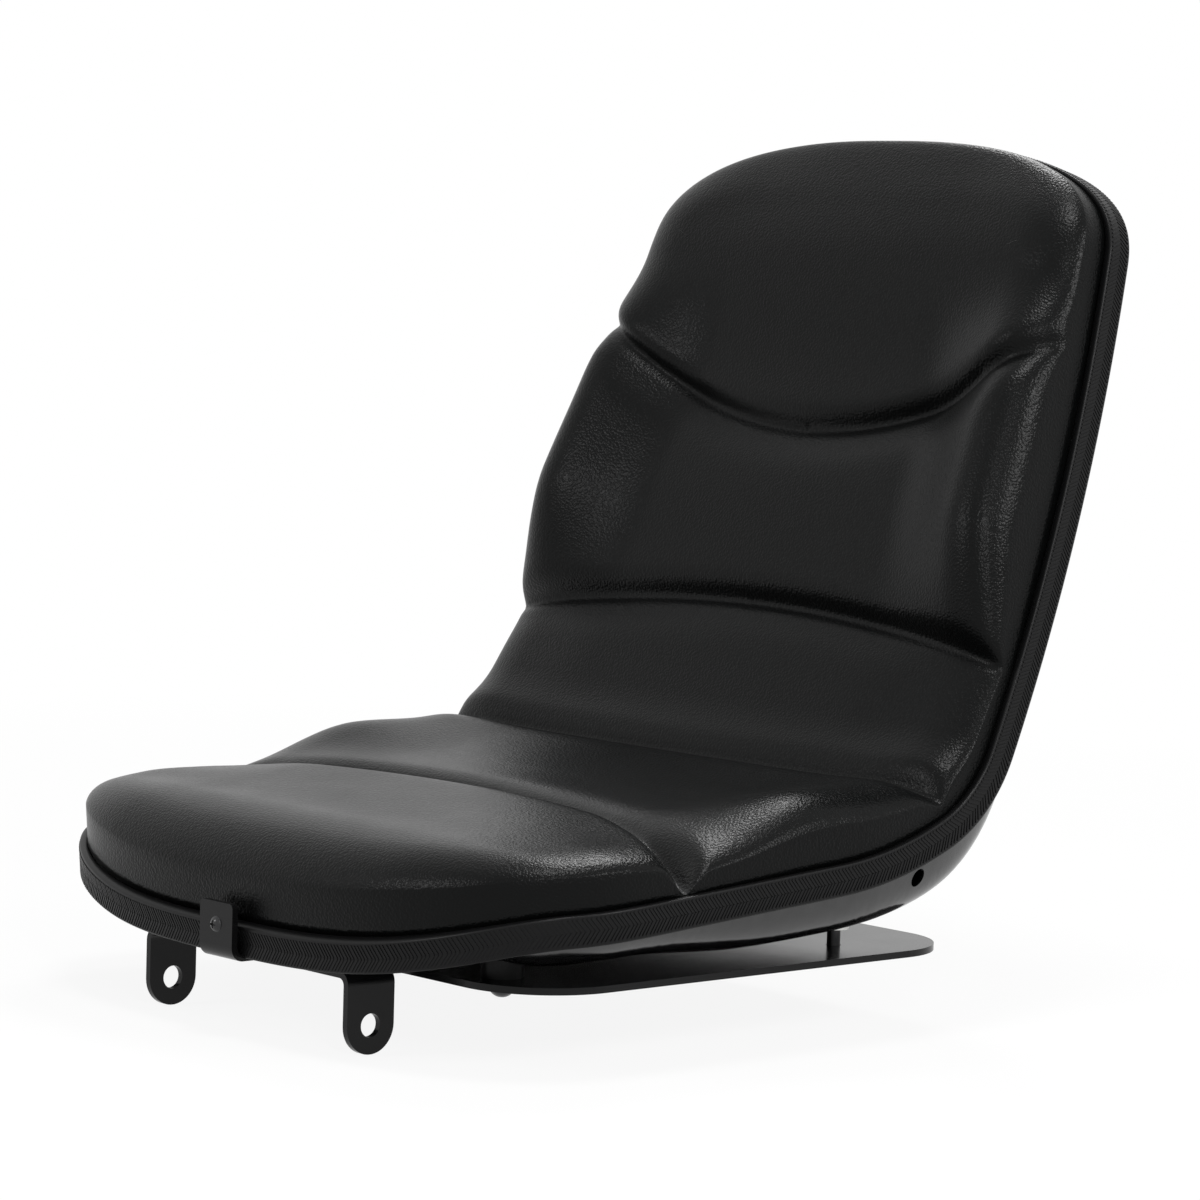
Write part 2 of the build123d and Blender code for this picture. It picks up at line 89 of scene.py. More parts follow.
# Station, height of the side bolster, height of the middle, rounding of the crest
CUSHION_STATIONS = [
    (0.0, 33.5, 38.5, 30.0),
    (90.0, 30.5, 33.0, 32.0),
    (165.0, 25.0, 34.0, 40.0),
    (250.0, 45.0, 30.0, 46.0),
    (355.0, 28.0, 26.0, 40.0),
    (420.0, 22.0, 26.0, 36.0),
    (540.0, 63.0, 34.0, 40.0),
    (620.0, 60.0, 30.0, 40.0),
    (700.0, 38.0, 37.0, 42.0),
    (790.0, 26.0, 20.0, 44.0),
]
BOLSTER_WIDTH = 105.0
# Grooves: station in the middle, run of the ends, depth in the middle, depth at the ends,
# half width towards the front and half width towards the top
GROOVES = [
    (188.0, -46.0, 6.0, 20.0, 9.0, 13.0),
    (348.0, 2.0, 7.0, 11.0, 13.0, 13.0),
    (471.0, -20.0, 8.0, 9.0, 20.0, 9.0),
    (588.0, 64.0, 8.0, 9.0, 20.0, 9.0),
]
# Narrow crease at the bottom of each groove
CREASE_DEPTH = 3.5
CREASE_WIDTH = 4.5
# Width along the rim in which a groove turns deeper
GROOVE_END_WIDTH = 60.0

# Pan bowl under the cushion: station and depth
PAN_STATIONS = [
    (0.0, 24.0),
    (110.0, 39.0),
    (250.0, 52.0),
    (350.0, 60.0),
    (430.0, 46.0),
    (550.0, 34.0),
    (800.0, 26.0),
]
PAN_WALL_RUN = 90.0
PAN_WALL_POWER = 2.4
CUSHION_GAP = 0.8
# The unseen underside of the foam keeps clear of the pan's wall and floor
UNDER_INSET = 9.0
UNDER_RISE = 6.0

# Edge trim
TRIM_PROUD = 5.0
TRIM_ABOVE = 1.0
TRIM_BELOW = 17.0
TRIM_GAP = 0.5

SEAT_TILT = math.radians(SEAT_ANGLE)

# Reach and fineness of the tables behind the outline
FRONT_CARRIED_ON = -1000.0
FRONT_TABLE_START = -30.0
FRONT_TABLE_POINTS = 400
TAPER_LIMIT = 1.2
SMALLEST_RATIO = 1e-6
MIDDLE_RATIO = 0.02
END_POINTS = 800
SIDE_POINTS = 400


def rim_stretches():
    """Each stretch of the rim line: where it holds from, its place, angle and radius, and its start."""
    angles = [FRONT_ANGLE, SEAT_ANGLE, SEAT_ANGLE, CORNER_ENTRY_ANGLE, BACK_ANGLE]
    front_radius = FRONT_LENGTH / math.radians(SEAT_ANGLE - FRONT_ANGLE)
    radii = [front_radius, None, CORNER_ENTRY_RADIUS, CORNER_RADIUS, BACK_RADIUS]
    entry = CORNER_ENTRY_RADIUS * math.radians(CORNER_ENTRY_ANGLE - SEAT_ANGLE)
    corner = CORNER_RADIUS * math.radians(BACK_ANGLE - CORNER_ENTRY_ANGLE)
    lengths = [FRONT_LENGTH, SEAT_LENGTH, entry, corner, BACK_LENGTH]
    rows = [(FRONT_CARRIED_ON, FRONT_Y, FRONT_Z, math.radians(FRONT_ANGLE), None, 0.0)]
    y, z, station = FRONT_Y, FRONT_Z, 0.0
    for degrees, radius, length in zip(angles, radii, lengths):
        angle = math.radians(degrees)
        rows.append((station, y, z, angle, radius, station))
        y, z, _ = along(y, z, angle, radius, length)
        station += length
    return rows, station


def along(y, z, angle, radius, run):
    """Place and angle after a run along a straight or an arc."""
    if radius is None:
        return y + run * math.cos(angle), z + run * math.sin(angle), angle + 0 * run
    turned = angle + run / radius
    return (
        y + radius * (np.sin(turned) - math.sin(angle)),
        z + radius * (math.cos(angle) - np.cos(turned)),
        turned,
    )


STRETCHES, RIM_LENGTH = rim_stretches()


def rim_point(station):
    """Place and angle of the rim line, carried on past both ends."""
    station = np.asarray(station, float)
    y = np.zeros_like(station)
    z = np.zeros_like(station)
    angle = np.zeros_like(station)
    for holds_from, begin_y, begin_z, begin_angle, radius, begin in STRETCHES:
        here = station >= holds_from
        new = along(begin_y, begin_z, begin_angle, radius, station - begin)
        y = np.where(here, new[0], y)
        z = np.where(here, new[1], z)
        angle = np.where(here, new[2], angle)
    return y, z, angle


def place(x, station, height):
    """Points in metres at a distance across, a station and a height over the rim surface."""
    y, z, angle = rim_point(station)
    angle = np.where(np.asarray(station) < FRONT_LENGTH, SEAT_TILT, angle)
    points = np.stack([x + 0 * y, y - height * np.sin(angle), z + height * np.cos(angle)], -1)
    return points * MM


FRONT_JOIN = rim_point(FRONT_DEPTH)


def flat_run(station):
    """Distance along the flat of the seat, which is shorter than the station on the front lip."""
    y, z, _ = rim_point(station)
    run = (y - FRONT_JOIN[0]) * math.cos(SEAT_TILT) + (z - FRONT_JOIN[1]) * math.sin(SEAT_TILT)
    return np.where(np.asarray(station) < FRONT_DEPTH, FRONT_DEPTH + run, station)


FRONT_TABLE = np.linspace(FRONT_TABLE_START, FRONT_DEPTH, FRONT_TABLE_POINTS)
FRONT_RUNS = flat_run(FRONT_TABLE)


def station_of(run):
    """Station of a distance along the flat of the seat."""
    return np.where(run < FRONT_DEPTH, np.interp(run, FRONT_RUNS, FRONT_TABLE), run)


def half_width(station):
    """Half the width of the seat, which tapers towards the top."""
    share = np.clip((station - TAPER_START) / (RIM_LENGTH - TAPER_START), 0.0, TAPER_LIMIT)
    return SEAT_HALF_WIDTH - (SEAT_HALF_WIDTH - TOP_HALF_WIDTH) * share**TAPER_POWER


def inset(x, station):
    """Distance in from the rim line."""
    wide = half_width(station)
    across = np.abs(x) / wide
    top = station > RIM_LENGTH / 2
    depth = np.where(top, TOP_DEPTH, FRONT_DEPTH)
    power = np.where(top, TOP_POWER, FRONT_POWER)
    run = np.where(top, station - (RIM_LENGTH - TOP_DEPTH), FRONT_DEPTH - flat_run(station))
    lengthwise = np.maximum(run / depth, 0.0)
    ratio = np.maximum((across**power + lengthwise**power) ** (1 / power), SMALLEST_RATIO)
    slope_x = (across / ratio) ** (power - 1) / wide
    slope_s = (lengthwise / ratio) ** (power - 1) / depth
    rounded_end = (1 - ratio) / np.hypot(slope_x, slope_s)
    return np.where(ratio < MIDDLE_RATIO, wide - np.abs(x), rounded_end)


def smooth(share):
    """Ease a share from 0 to 1."""
    share = np.clip(share, 0.0, 1.0)
    return share * share * (3 - 2 * share)


def eased(rows, station, column):
    """Value of a column at a station, eased between the rows."""
    value = np.full_like(station, rows[0][column])
    for first, second in zip(rows, rows[1:]):
        share = smooth((station - first[0]) / (second[0] - first[0]))
        value = value + share * (second[column] - first[column])
    return value


def rounded(run, reach, power):
    """Share of the full height at a run in from the start of a rounded shoulder."""
    share = np.clip(run / reach, 0.0, 1.0)
    return (1 - (1 - share) ** power) ** (1 / power)


def cushion_top(x, station):
    """Height of the cushion: bolsters, dished middle, rounded crest and grooves."""
    inward = inset(x, station)
    side = eased(CUSHION_STATIONS, station, 1)
    middle = eased(CUSHION_STATIONS, station, 2)
    reach = eased(CUSHION_STATIONS, station, 3)
    sideways = half_width(station) - np.abs(x)
    crest = middle + (side - middle) * (1 - smooth(sideways / BOLSTER_WIDTH))
    across = np.minimum(np.abs(x) / half_width(station), 1.0)
    end_share = 1 - smooth(inward / GROOVE_END_WIDTH)
    for middle_station, end_run, depth, end_depth, before, after in GROOVES:
        away = station - (middle_station + end_run * across**2)
        width = np.where(away < 0, before, after)
        dip = np.exp(-((away / width) ** 2))
        crest = crest - (depth + (end_depth - depth) * end_share) * dip
        crest = crest - CREASE_DEPTH * np.exp(-((away / CREASE_WIDTH) ** 2))
    behind_front = smooth((station - FRONT_EDGE_FROM) / (FRONT_EDGE_TO - FRONT_EDGE_FROM))
    edge = FRONT_EDGE_SHARE + (EDGE_SHARE - FRONT_EDGE_SHARE) * behind_front
    return crest * (edge + (1 - edge) * rounded(inward, reach, CREST_POWER))


def cushion_under(x, station):
    """Height of the unseen underside, which follows the pan."""
    depth = eased(PAN_STATIONS, station, 1) - UNDER_RISE
    inward = inset(x, station) - UNDER_INSET
    return CUSHION_GAP - depth * rounded(inward, PAN_WALL_RUN, PAN_WALL_POWER)


def outline(count):
    """Rim line on the flat, half way round from the front to the top, evenly spaced."""
    turn = np.linspace(math.pi / 2, 0.0, END_POINTS)
    front_run = FRONT_DEPTH - FRONT_DEPTH * np.sin(turn) ** (2 / FRONT_POWER)
    front_x = SEAT_HALF_WIDTH * np.cos(turn).clip(0) ** (2 / FRONT_POWER)
    side_run = np.linspace(FRONT_DEPTH, RIM_LENGTH - TOP_DEPTH, SIDE_POINTS)[1:-1]
    top_run = RIM_LENGTH - TOP_DEPTH + TOP_DEPTH * np.sin(turn[::-1]) ** (2 / TOP_POWER)
    top_x = half_width(top_run) * np.cos(turn[::-1]).clip(0) ** (2 / TOP_POWER)
    x = np.concatenate([front_x, half_width(side_run), top_x])
    run = np.concatenate([front_run, side_run, top_run])
    steps = np.concatenate([[0.0], np.cumsum(np.hypot(np.diff(x), np.diff(run)))])
    even = np.linspace(0.0, steps[-1], count + 1)
    return np.interp(even, steps, x), np.interp(even, steps, run)


def closed_outline(count):
    """The whole rim line as x, run and the outward direction at each point."""
    x, run = outline(count)
    x = np.concatenate([x, -x[-2:0:-1]])
    run = np.concatenate([run, run[-2:0:-1]])
    back_x, next_x = np.roll(x, 1), np.roll(x, -1)
    back_run, next_run = np.roll(run, 1), np.roll(run, -1)
    out_x, out_run = next_run - back_run, back_x - next_x
    size = np.hypot(out_x, out_run)
    return x, run, out_x / size, out_run / size


def grid_mesh(name, rings, open_after=None):
    """Piece from rings of points that close on themselves, open after one ring where that is given."""
    count = rings[0].shape[0]
    points = np.concatenate(rings)
    faces = []
    total = len(rings)
    for ring in range(total):
        if ring == open_after:
            continue
        here = ring * count
        there = (ring + 1) % total * count
        for index in range(count):
            follow = (index + 1) % count
            faces.append((here + index, here + follow, there + follow, there + index))
    mesh = bpy.data.meshes.new(name)
    mesh.from_pydata(points.tolist(), [], faces)
    mesh.update()
    piece = bpy.data.objects.new(name, mesh)
    bpy.context.scene.collection.objects.link(piece)
    return piece


def weld(piece, distance):
    """Join points that lie on each other, turn the faces outwards and shade them smooth."""
    work = bmesh.new()
    work.from_mesh(piece.data)
    bmesh.ops.remove_doubles(work, verts=work.verts, dist=distance)
    bmesh.ops.dissolve_degenerate(work, edges=work.edges, dist=distance)
    bmesh.ops.recalc_face_normals(work, faces=work.faces)
    work.to_mesh(piece.data)
    work.free()
    for polygon in piece.data.polygons:
        polygon.use_smooth = True


# Cushion: the wall, the crest and the top as rings from the rim to the spine, then the underside back
WELD_DISTANCE = 1e-5
CUSHION_POINTS = 470
CUSHION_EDGE = 0.3
CREST_RUN = 48.0
CREST_SPACING = 1.15
TOP_OVERHANG = 3.0
WALL_FOOT_OVERHANG = 0.6
SPINE_FRONT = 70.0
SPINE_TOP = 715.0
WALL_RINGS = 6
CREST_RINGS = 18
INNER_RINGS = 40
UNDER_RINGS = 12
UNDER_EDGE_RINGS = (24.0, 15.0, 10.0, UNDER_INSET)

rim_x, rim_run, out_x, out_run = closed_outline(CUSHION_POINTS)
half_share = np.arange(CUSHION_POINTS + 1) / CUSHION_POINTS
around_share = np.concatenate([half_share, half_share[-2:0:-1]])
spine_run = SPINE_FRONT + (SPINE_TOP - SPINE_FRONT) * around_share


def top_share(run):
    """0 below the headrest's rounded end, 1 at its tip."""
    return smooth((run - (RIM_LENGTH - TOP_DEPTH)) / TOP_DEPTH)


def inward_ring(distance):
    """Rim line moved in by a distance."""
    return rim_x - out_x * distance, rim_run - out_run * distance


def bulged(x, run, height, share):
    """Points of a ring, moved out over the rim at the headrest."""
    over = TOP_OVERHANG * top_share(rim_run) * share
    return place(x + out_x * over, station_of(run + out_run * over), height)


def toward_spine(share):
    """Ring between the foot of the crest and the spine, the middle line of the seat."""
    x, run = inward_ring(CREST_RUN)
    return x * (1 - share), run + (spine_run - run) * share


cushion_rings = []
x, run = inward_ring(CUSHION_EDGE)
edge_top = cushion_top(x, station_of(run))
for step in np.linspace(0.0, 1.0, WALL_RINGS)[:-1]:
    over_share = WALL_FOOT_OVERHANG + (1 - WALL_FOOT_OVERHANG) * step
    cushion_rings.append(bulged(x, run, CUSHION_GAP + (edge_top - CUSHION_GAP) * step, over_share))
for turn in np.linspace(0.0, math.pi / 2, CREST_RINGS)[:-1]:
    distance = CUSHION_EDGE + (CREST_RUN - CUSHION_EDGE) * (1 - math.cos(turn)) ** CREST_SPACING
    x, run = inward_ring(distance)
    cushion_rings.append(bulged(x, run, cushion_top(x, station_of(run)), 1 - distance / CREST_RUN))
for step in np.linspace(0.0, 1.0, INNER_RINGS):
    x, run = toward_spine(step)
    cushion_rings.append(place(x, station_of(run), cushion_top(x, station_of(run))))
spine_ring = len(cushion_rings) - 1
for step in np.linspace(1.0, 0.0, UNDER_RINGS):
    x, run = toward_spine(step)
    cushion_rings.append(place(x, station_of(run), cushion_under(x, station_of(run))))
for distance in UNDER_EDGE_RINGS:
    x, run = inward_ring(distance)
    cushion_rings.append(place(x, station_of(run), cushion_under(x, station_of(run))))
cushion = grid_mesh("seat_cushion", cushion_rings, spine_ring)
weld(cushion, WELD_DISTANCE)

# Edge trim: a flat band with rounded edges and a small lip against the cushion, under the chevron ribs
TRIM_POINTS = 460
TRIM_TOP_IN = 1.5
TRIM_TOP_DROP = 0.8
TRIM_FACE_BACK = 0.4
TRIM_FACE = TRIM_PROUD - TRIM_FACE_BACK
TRIM_LIP = 0.2
LIP_ROOT_DROP = 0.8
LIP_DROP = 0.6
TOP_EDGE_IN = 0.7
TOP_EDGE_DROP = 0.9
TOP_BEND_IN = 0.15
TOP_BEND_DROP = 0.25
FACE_SWELL = 0.1
FOOT_EDGE_IN = 1.0
FOOT_EDGE_RISE = 1.1
FOOT_BEND = 0.3
BACK_EDGE_OUT = 0.8
BACK_BEND_OUT = 0.2
BACK_EDGE_RISE = 0.6
# Distance out from the rim line, and height
TRIM_SECTION = [
    (TRIM_GAP, TRIM_ABOVE - LIP_ROOT_DROP),
    (-TRIM_LIP, TRIM_ABOVE - LIP_DROP),
    (TRIM_LIP, TRIM_ABOVE),
    (TRIM_FACE - TOP_EDGE_IN, TRIM_ABOVE),
    (TRIM_FACE - TOP_BEND_IN, TRIM_ABOVE - TOP_BEND_DROP),
    (TRIM_FACE, TRIM_ABOVE - TOP_EDGE_DROP),
    (TRIM_FACE + FACE_SWELL, -TRIM_BELOW / 2),
    (TRIM_FACE, -TRIM_BELOW + FOOT_EDGE_RISE),
    (TRIM_FACE - FOOT_BEND, -TRIM_BELOW + FOOT_BEND),
    (TRIM_FACE - FOOT_EDGE_IN, -TRIM_BELOW),
    (TRIM_GAP + BACK_EDGE_OUT, -TRIM_BELOW),
    (TRIM_GAP + BACK_BEND_OUT, -TRIM_BELOW + BACK_EDGE_RISE),
]
trim_x, trim_run, trim_out_x, trim_out_run = closed_outline(TRIM_POINTS)
trim_rings = []
trim_top = top_share(trim_run)
for offset, height in TRIM_SECTION:
    out = offset - TRIM_TOP_IN * trim_top * (offset - TRIM_GAP) / (TRIM_PROUD - TRIM_GAP)
    x = trim_x + trim_out_x * out
    station = station_of(trim_run + trim_out_run * out)
    trim_rings.append(place(x, station, height - TRIM_TOP_DROP * trim_top))
trim = grid_mesh("edge_trim_band", trim_rings)
weld(trim, WELD_DISTANCE)


# Materials
FINE_DETAIL = 3.0
BROAD_SCALE = 18.0
BROAD_DETAIL = 4.0
NOISE_MIDDLE = 0.5
FINISH_RELIEF = 0.0002
COAT_ROUGHNESS = 0.1

# Vinyl, with its grain sizes as noise scales and its bends and relief in metres
VINYL_COLOUR = (0.0022, 0.0024, 0.0024)
VINYL_SHINE = 0.1
VINYL_ROUGHNESS = 0.3
VINYL_SPREAD = 0.1
VINYL_FINE_SCALE = 900.0
VINYL_FINE_SHARE = 0.25
VINYL_BUMP = 0.5
VINYL_RELIEF = 0.0003
GRAIN_BEND_SCALE = 420.0
GRAIN_BEND_DETAIL = 2.0
GRAIN_BEND = 0.0014
PEBBLE_SCALE = 640.0
PEBBLE_SMOOTHNESS = 0.35
PEBBLE_TOP = 0.15
PEBBLE_CREASE = 0.75


def new_material(name):
    """Material with one shader, together with its nodes and links."""
    material = bpy.data.materials.new(name)
    material.use_nodes = True
    nodes, links = material.node_tree.nodes, material.node_tree.links
    nodes.clear()
    output = nodes.new("ShaderNodeOutputMaterial")
    shader = nodes.new("ShaderNodeBsdfPrincipled")
    links.new(shader.outputs["BSDF"], output.inputs["Surface"])
    return material, nodes, links, shader


def math_node(nodes, operation):
    """Math node set to one operation."""
    node = nodes.new("ShaderNodeMath")
    node.operation = operation
    return node


def noise_node(nodes, links, where, detail):
    """Noise that lies still on the piece."""
    node = nodes.new("ShaderNodeTexNoise")
    node.inputs["Detail"].default_value = detail
    links.new(where.outputs["Object"], node.inputs["Vector"])
    return node


def unevenness_group():
    """Fine unevenness shared by the finishes: a bump height and a roughness."""
    group = bpy.data.node_groups.new("surface_unevenness", "ShaderNodeTree")
    for name in ("Scale", "Roughness", "Spread"):
        group.interface.new_socket(name, in_out="INPUT", socket_type="NodeSocketFloat")
    for name in ("Roughness", "Height"):
        group.interface.new_socket(name, in_out="OUTPUT", socket_type="NodeSocketFloat")
    nodes, links = group.nodes, group.links
    inward = nodes.new("NodeGroupInput")
    outward = nodes.new("NodeGroupOutput")
    where = nodes.new("ShaderNodeTexCoord")
    fine = noise_node(nodes, links, where, FINE_DETAIL)
    links.new(inward.outputs["Scale"], fine.inputs["Scale"])
    broad = noise_node(nodes, links, where, BROAD_DETAIL)
    broad.inputs["Scale"].default_value = BROAD_SCALE
    centred = math_node(nodes, "SUBTRACT")
    centred.inputs[1].default_value = NOISE_MIDDLE
    links.new(broad.outputs[0], centred.inputs[0])
    spread = math_node(nodes, "MULTIPLY_ADD")
    links.new(centred.outputs[0], spread.inputs[0])
    links.new(inward.outputs["Spread"], spread.inputs[1])
    links.new(inward.outputs["Roughness"], spread.inputs[2])
    links.new(spread.outputs[0], outward.inputs["Roughness"])
    links.new(fine.outputs[0], outward.inputs["Height"])
    return group


UNEVENNESS = unevenness_group()


def uneven_node(nodes, scale, roughness, spread):
    """The shared unevenness with a finish's own values."""
    node = nodes.new("ShaderNodeGroup")
    node.node_tree = UNEVENNESS
    node.inputs["Scale"].default_value = scale
    node.inputs["Roughness"].default_value = roughness
    node.inputs["Spread"].default_value = spread
    return node


def add_relief(nodes, links, shader, height, strength, distance):
    """Bump the shader's normal by a height."""
    relief = nodes.new("ShaderNodeBump")
    relief.inputs["Strength"].default_value = strength
    relief.inputs["Distance"].default_value = distance
    links.new(height, relief.inputs["Height"])
    links.new(relief.outputs["Normal"], shader.inputs["Normal"])


def finish_material(name, colour, roughness, spread, scale, bump, shine, metallic=0.0, coat=0.0):
    """Painted, plastic or plated finish with fine unevenness."""
    material, nodes, links, shader = new_material(name)
    uneven = uneven_node(nodes, scale, roughness, spread)
    add_relief(nodes, links, shader, uneven.outputs["Height"], bump, FINISH_RELIEF)
    links.new(uneven.outputs["Roughness"], shader.inputs["Roughness"])
    shader.inputs["Base Color"].default_value = (*colour, 1.0)
    shader.inputs["Metallic"].default_value = metallic
    shader.inputs["Coat Weight"].default_value = coat
    shader.inputs["Coat Roughness"].default_value = COAT_ROUGHNESS
    shader.inputs["Specular IOR Level"].default_value = shine
    return material


def vinyl_material():
    """Grained vinyl: small pebbles with creases between them."""
    material, nodes, links, shader = new_material("black_grained_vinyl")
    where = nodes.new("ShaderNodeTexCoord")
    bend = noise_node(nodes, links, where, GRAIN_BEND_DETAIL)
    bend.inputs["Scale"].default_value = GRAIN_BEND_SCALE
    shifted = nodes.new("ShaderNodeVectorMath")
    shifted.operation = "MULTIPLY_ADD"
    shifted.inputs[1].default_value = (GRAIN_BEND, GRAIN_BEND, GRAIN_BEND)
    links.new(bend.outputs["Color"], shifted.inputs[0])
    links.new(where.outputs["Object"], shifted.inputs[2])
    pebble = nodes.new("ShaderNodeTexVoronoi")
    pebble.feature = "SMOOTH_F1"
    pebble.inputs["Scale"].default_value = PEBBLE_SCALE
    pebble.inputs["Smoothness"].default_value = PEBBLE_SMOOTHNESS
    links.new(shifted.outputs[0], pebble.inputs["Vector"])
    rise = nodes.new("ShaderNodeMapRange")
    rise.inputs["From Min"].default_value = PEBBLE_TOP
    rise.inputs["From Max"].default_value = PEBBLE_CREASE
    rise.inputs["To Min"].default_value = 1.0
    rise.inputs["To Max"].default_value = 0.0
    links.new(pebble.outputs["Distance"], rise.inputs["Value"])
    uneven = uneven_node(nodes, VINYL_FINE_SCALE, VINYL_ROUGHNESS, VINYL_SPREAD)
    grain = math_node(nodes, "MULTIPLY_ADD")
    grain.inputs[1].default_value = VINYL_FINE_SHARE
    links.new(uneven.outputs["Height"], grain.inputs[0])
    links.new(rise.outputs["Result"], grain.inputs[2])
    add_relief(nodes, links, shader, grain.outputs[0], VINYL_BUMP, VINYL_RELIEF)
    links.new(uneven.outputs["Roughness"], shader.inputs["Roughness"])
    shader.inputs["Base Color"].default_value = (*VINYL_COLOUR, 1.0)
    shader.inputs["Specular IOR Level"].default_value = VINYL_SHINE
    return material


VINYL = vinyl_material()
PAN_PAINT = finish_material(
    "gloss_black_pan",
    colour=(0.004, 0.004, 0.0042),
    roughness=0.14,
    spread=0.05,
    scale=220.0,
    bump=0.05,
    shine=0.5,
)
PLATE_PAINT = finish_material(
    "gloss_black_plate",
    colour=(0.005, 0.005, 0.0052),
    roughness=0.22,
    spread=0.08,
    scale=260.0,
    bump=0.06,
    shine=0.17,
)
TRIM_PLASTIC = finish_material(
    "black_trim",
    colour=(0.004, 0.004, 0.0042),
    roughness=0.36,
    spread=0.1,
    scale=700.0,
    bump=0.1,
    shine=0.15,
)
BLACK_STEEL = finish_material(
    "black_steel",
    colour=(0.02, 0.02, 0.021),
    roughness=0.32,
    spread=0.12,
    scale=900.0,
    bump=0.12,
    shine=0.4,
    metallic=0.4,
    coat=0.2,
)
ZINC_STEEL = finish_material(
    "zinc_steel",
    colour=(0.62, 0.62, 0.60),
    roughness=0.28,
    spread=0.12,
    scale=900.0,
    bump=0.1,
    shine=0.5,
    metallic=1.0,
)


# Chevron ribs of the trim
RIB_PITCH = 2.6
RIB_LENGTH = 9.0
RIB_WIDTH = 1.1
RIB_HEIGHT = 0.9
RIB_SLANT = 36.0
RIB_ROWS_APART = 7.2
RIB_LINE_POINTS = 4 * TRIM_POINTS
UPWARD_STEP = 1.0


def rib_tree():
    """Tree that sets a chevron on every point, turned by the point's own rotation."""
    tree = bpy.data.node_groups.new("chevron_ribs", "GeometryNodeTree")
    tree.interface.new_socket("Geometry", in_out="INPUT", socket_type="NodeSocketGeometry")
    for name in ("Bar Length", "Bar Width", "Bar Height", "Slant", "Apart"):
        tree.interface.new_socket(name, in_out="INPUT", socket_type="NodeSocketFloat")
    tree.interface.new_socket("Material", in_out="INPUT", socket_type="NodeSocketMaterial")
    tree.interface.new_socket("Geometry", in_out="OUTPUT", socket_type="NodeSocketGeometry")
    nodes, links = tree.nodes, tree.links
    inward = nodes.new("NodeGroupInput")
    outward = nodes.new("NodeGroupOutput")
    size = nodes.new("ShaderNodeCombineXYZ")
    links.new(inward.outputs["Bar Width"], size.inputs["X"])
    links.new(inward.outputs["Bar Length"], size.inputs["Y"])
    links.new(inward.outputs["Bar Height"], size.inputs["Z"])
    bar = nodes.new("GeometryNodeMeshCube")
    links.new(size.outputs[0], bar.inputs["Size"])
    join = nodes.new("GeometryNodeJoinGeometry")
    for side in (-1.0, 1.0):
        rise = math_node(nodes, "MULTIPLY")
        rise.inputs[1].default_value = side / 2
        links.new(inward.outputs["Apart"], rise.inputs[0])
        turn = math_node(nodes, "MULTIPLY")
        turn.inputs[1].default_value = side
        links.new(inward.outputs["Slant"], turn.inputs[0])
        shift = nodes.new("ShaderNodeCombineXYZ")
        links.new(rise.outputs[0], shift.inputs["Y"])
        angle = nodes.new("ShaderNodeCombineXYZ")
        links.new(turn.outputs[0], angle.inputs["Z"])
        move = nodes.new("GeometryNodeTransform")
        links.new(bar.outputs["Mesh"], move.inputs["Geometry"])
        links.new(shift.outputs[0], move.inputs["Translation"])
        links.new(angle.outputs[0], move.inputs["Rotation"])
        links.new(move.outputs["Geometry"], join.inputs["Geometry"])
    own_turn = nodes.new("GeometryNodeInputNamedAttribute")
    own_turn.data_type = "FLOAT_VECTOR"
    own_turn.inputs["Name"].default_value = "turn"
    stand = nodes.new("GeometryNodeInstanceOnPoints")
    links.new(inward.outputs["Geometry"], stand.inputs["Points"])
    links.new(join.outputs["Geometry"], stand.inputs["Instance"])
    links.new(own_turn.outputs["Attribute"], stand.inputs["Rotation"])
    real = nodes.new("GeometryNodeRealizeInstances")
    links.new(stand.outputs["Instances"], real.inputs["Geometry"])
    finished = nodes.new("GeometryNodeSetMaterial")
    links.new(real.outputs["Geometry"], finished.inputs["Geometry"])
    links.new(inward.outputs["Material"], finished.inputs["Material"])
    links.new(finished.outputs["Geometry"], outward.inputs["Geometry"])
    return tree


def rib_points():
    """Points along the middle of the trim's face, each with its own rotation."""
    x, run, side_x, side_run = closed_outline(RIB_LINE_POINTS)
    steps = np.hypot(np.roll(x, -1) - x, np.roll(run, -1) - run)
    length = np.concatenate([[0.0], np.cumsum(steps)])
    count = int(round(length[-1] / RIB_PITCH))
    marks = np.arange(count) * length[-1] / count
    index = np.searchsorted(length, marks, side="right") - 1
    offset = TRIM_FACE - TRIM_TOP_IN * top_share(run)
    middle = (TRIM_ABOVE - TRIM_BELOW) / 2 - TRIM_TOP_DROP * top_share(run)
    face_x = x + side_x * offset
    face_station = station_of(run + side_run * offset)
    spots = place(face_x, face_station, middle)
    higher = place(face_x, face_station, middle + UPWARD_STEP)
    mesh = bpy.data.meshes.new("trim_rib_points")
    mesh.from_pydata(spots[index].tolist(), [], [])
    turns = mesh.attributes.new("turn", "FLOAT_VECTOR", "POINT")
    values = []
    for mark in index:
        up = Vector(higher[mark] - spots[mark]).normalized()
        ahead = Vector(spots[(mark + 1) % len(x)] - spots[mark - 1]).normalized()
        out = ahead.cross(up).normalized()
        ahead = up.cross(out)
        values.extend(Matrix((ahead, up, out)).transposed().to_euler())
    turns.data.foreach_set("vector", values)
    holder = bpy.data.objects.new("trim_rib_points", mesh)
    bpy.context.scene.collection.objects.link(holder)
    return holder


